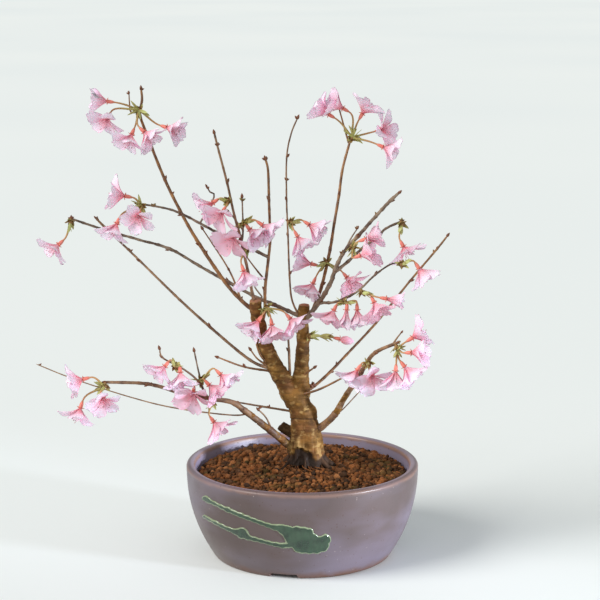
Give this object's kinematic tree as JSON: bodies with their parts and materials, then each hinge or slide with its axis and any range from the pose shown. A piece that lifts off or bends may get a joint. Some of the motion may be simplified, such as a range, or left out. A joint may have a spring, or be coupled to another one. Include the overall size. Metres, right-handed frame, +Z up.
{
  "type": "cherry blossom bonsai",
  "caption": "Flowering cherry bonsai: forked bark trunk with long thin shoots and hanging pink blossom, standing in granular soil in a round drained stoneware bowl pot",
  "frame": {"origin": "centre of the pot's flat underside, on the surface it stands on", "axes": "+Z up, -Y towards the side the tree is seen from, +X to the right seen from there"},
  "size_m": [0.2985, 0.165, 0.3303],
  "materials": {
    "stoneware": "matte mauve-brown stoneware with a bare clay rim and a poured green glaze run",
    "granular_soil": "loose fired-clay grains",
    "cherry_bark": "olive-brown bark with ring lenticels",
    "calyx_and_stalk": "salmon-red calyx on yellow-green stalk",
    "petal": "thin pale pink petal"
  },
  "bodies": {
    "root": {"petals_01_ab": "petal", "petals_01_cd": "petal", "petals_01_e": "petal", "petals_02_ab": "petal", "petals_02_c": "petal", "petals_02_de": "petal", "petals_03_a": "petal", "petals_03_b": "petal", "petals_03_c": "petal", "petals_04_a": "petal", "petals_05_ab": "petal", "petals_06_abc": "petal", "petals_07_a": "petal", "petals_08_a": "petal", "petals_08_b": "petal", "petals_09_a": "petal", "petals_09_b": "petal", "petals_09_c": "petal", "petals_10_ab": "petal", "petals_11_a": "petal", "petals_12_a": "petal", "petals_13_abc": "petal", "petals_14_ab": "petal", "petals_15_a": "petal", "petals_16_ab": "petal", "petals_17_ab": "petal", "petals_17_cd": "petal", "petals_18_abc": "petal", "petals_19_a": "petal", "petals_19_b": "petal", "petals_19_c": "petal", "petals_20_ab": "petal", "petals_21_abc": "petal", "petals_22_a": "petal", "pot": "stoneware", "soil": "granular_soil", "stalks_01": "calyx_and_stalk", "stalks_02": "calyx_and_stalk", "stalks_03": "calyx_and_stalk", "stalks_04": "calyx_and_stalk", "stalks_05": "calyx_and_stalk", "stalks_06": "calyx_and_stalk", "stalks_07": "calyx_and_stalk", "stalks_08": "calyx_and_stalk", "stalks_09": "calyx_and_stalk", "stalks_10": "calyx_and_stalk", "stalks_11": "calyx_and_stalk", "stalks_12": "calyx_and_stalk", "stalks_13": "calyx_and_stalk", "stalks_14": "calyx_and_stalk", "stalks_15": "calyx_and_stalk", "stalks_16": "calyx_and_stalk", "stalks_17": "calyx_and_stalk", "stalks_18": "calyx_and_stalk", "stalks_19": "calyx_and_stalk", "stalks_20": "calyx_and_stalk", "stalks_21": "calyx_and_stalk", "stalks_22": "calyx_and_stalk", "tree": "cherry_bark"}
  },
  "joints": []
}
